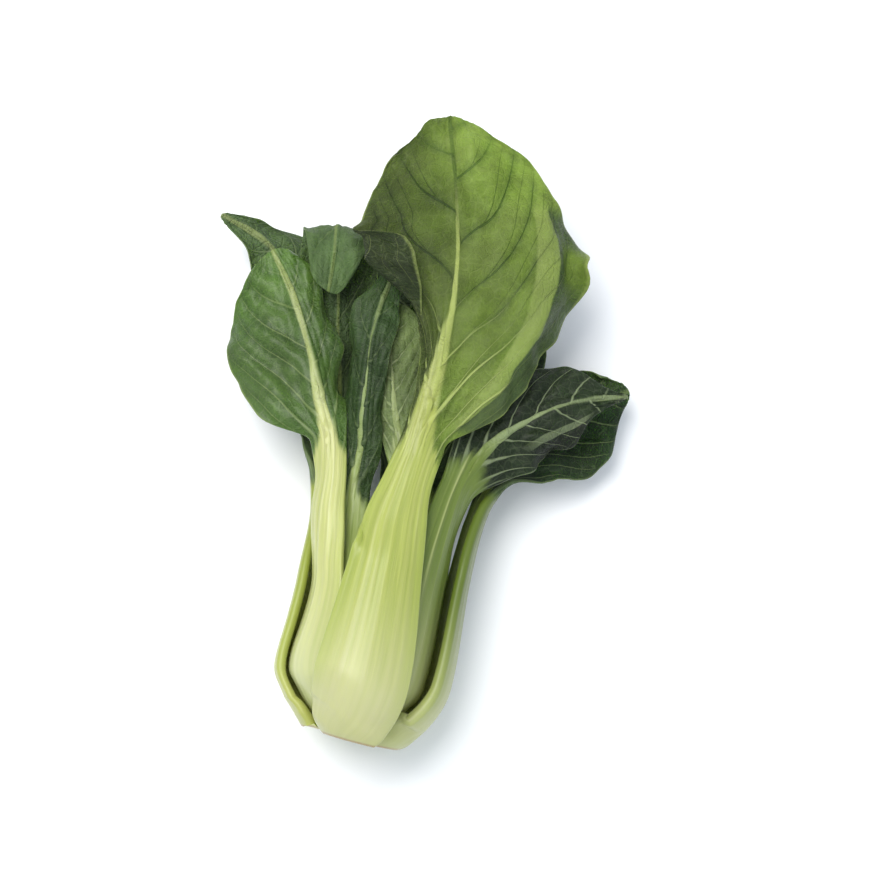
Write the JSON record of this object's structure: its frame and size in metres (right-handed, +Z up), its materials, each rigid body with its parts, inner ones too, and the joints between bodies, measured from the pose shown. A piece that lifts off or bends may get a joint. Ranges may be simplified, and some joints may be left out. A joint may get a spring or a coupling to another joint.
{
  "type": "bok choy",
  "caption": "Head of bok choy lying on its side: pale crescent stalks wrapped round a short cut stem, opening into broad waved green leaves with raised veins.",
  "frame": {"origin": "on the surface that the head lies on, under the middle of its outer box", "axes": "+Y from the cut end towards the leaf tips, +X to the right seen from above with the leaf tips away, +Z up"},
  "size_m": [0.1536, 0.2366, 0.0662],
  "materials": {
    "front_leaf": "satin leaf back, pale ribbed stalk",
    "green_leaf": "satin leaf, pale ribbed stalk",
    "heart_leaf": "satin young leaf",
    "cut_stem": "dry cut face"
  },
  "bodies": {
    "root": {"stem_core": "cut_stem", "leaf_front": "front_leaf", "leaf_left": "green_leaf", "leaf_left_outer": "green_leaf", "leaf_right": "green_leaf", "leaf_right_outer": "green_leaf", "leaf_inner_left": "heart_leaf", "leaf_folded_tip": "green_leaf", "leaf_heart_oval": "heart_leaf", "leaf_heart": "heart_leaf", "leaf_under": "green_leaf", "leaf_under_right": "green_leaf"}
  },
  "joints": []
}
